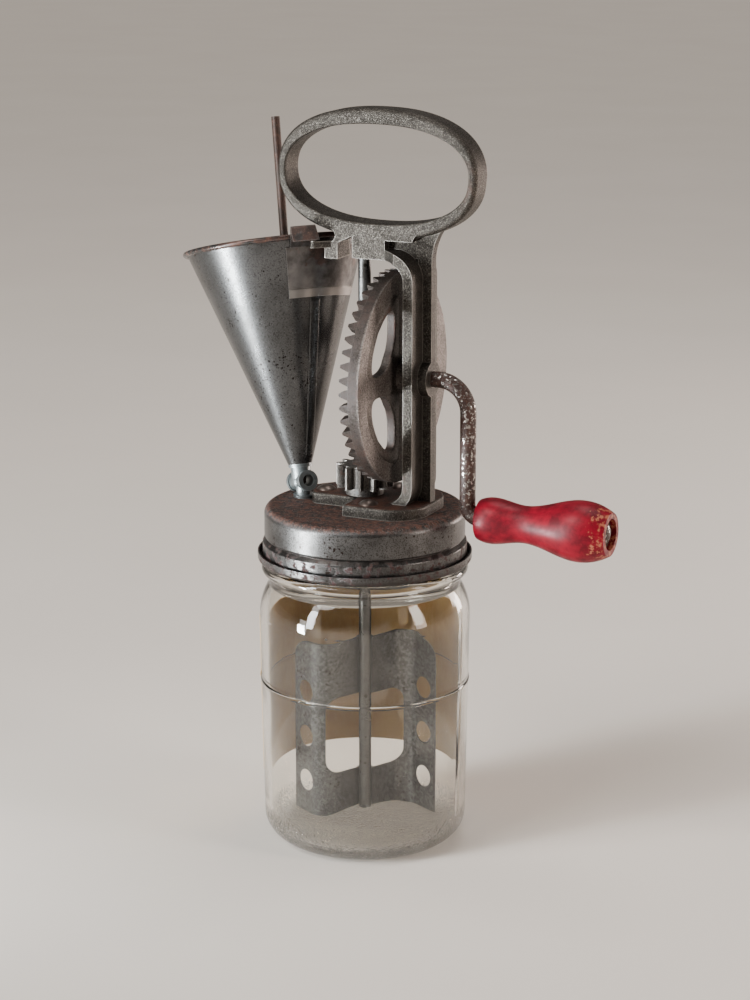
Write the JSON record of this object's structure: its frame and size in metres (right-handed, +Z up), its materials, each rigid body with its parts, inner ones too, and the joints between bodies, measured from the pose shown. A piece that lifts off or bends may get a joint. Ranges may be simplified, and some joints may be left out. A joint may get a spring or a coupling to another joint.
{
  "type": "hand crank jar mixer",
  "caption": "Hand crank mixer on a glass screw-top jar: cast frame with loop handle, crown wheel and pinion, sheet dasher, and a tin oil funnel with needle valve.",
  "frame": {"origin": "centre of the jar's flat base, on the surface it stands on", "axes": "+Z up along the jar and the dasher shaft, +X along the crank's axle towards the crank, -Y towards the viewer of the picture"},
  "size_m": [0.2073, 0.1058, 0.3266],
  "materials": {
    "clear_glass": "clear, slightly warm",
    "seal_rubber": "matt",
    "lid_tin": "worn tinplate, rusty on top",
    "casting": "grainy sand casting",
    "rivet_metal": "brown, worn bright",
    "wheel_iron": "cast, brown rust on the teeth",
    "rod_steel": "rusty, flaked plating",
    "red_wood": "worn red paint on turned wood",
    "shaft_steel": "tarnished",
    "dasher_tin": "mottled tinplate",
    "funnel_tin": "pitted tinplate",
    "valve_metal": "dull white metal",
    "needle_steel": "brown"
  },
  "bodies": {
    "jar": {"glass_jar": "clear_glass"},
    "seal": {"lid_seal": "seal_rubber"},
    "head": {"screw_lid": "lid_tin", "frame_casting": "casting", "frame_rivets": "rivet_metal"},
    "crank": {"crown_wheel": "wheel_iron", "crank_rod": "rod_steel", "wheel_pin": "rod_steel", "axle_washer": "rod_steel", "grip_washer": "rod_steel"},
    "grip": {"handle_grip": "red_wood"},
    "dasher": {"dasher_shaft": "shaft_steel", "pinion": "wheel_iron", "pinion_pin": "shaft_steel", "dasher_blade": "dasher_tin"},
    "funnel": {"funnel_cone": "funnel_tin", "rim_wire": "funnel_tin", "funnel_clip": "funnel_tin", "drip_valve": "valve_metal"},
    "needle": {"needle_rod": "needle_steel"}
  },
  "joints": [
    {"name": "seal_lift", "type": "slide", "parent": "jar", "child": "seal", "axis": [0, 0, 1], "range_m": [0, 0.0046]},
    {"name": "lid_unscrew", "type": "hinge", "parent": "seal", "child": "head", "pos_m": [0, 0, 0.1529], "axis": [0, 0, 1], "range_deg": [0, 450]},
    {"name": "crank_turn", "type": "hinge", "parent": "head", "child": "crank", "pos_m": [0.0283, 0, 0.2119], "axis": [1, 0, 0], "continuous": true},
    {"name": "grip_spin", "type": "hinge", "parent": "crank", "child": "grip", "pos_m": [0.085, 0, 0.1524], "axis": [1, 0, 0], "continuous": true},
    {"name": "dasher_spin", "type": "hinge", "parent": "head", "child": "dasher", "pos_m": [0, 0, 0.16], "axis": [0, 0, 1], "continuous": true},
    {"name": "funnel_swing", "type": "hinge", "parent": "head", "child": "funnel", "pos_m": [-0.03, 0, 0.1529], "axis": [0, 0, 1], "range_deg": [-14, 0]},
    {"name": "needle_lift", "type": "slide", "parent": "funnel", "child": "needle", "axis": [-0.1243, 0.1006, 0.9871], "range_m": [0, 0.025]}
  ],
  "couplings": [
    {"joint": "dasher_spin", "follows": "crank_turn", "ratio": 4},
    {"joint": "seal_lift", "follows": "lid_unscrew", "m_per_rad": 0.00057296}
  ]
}
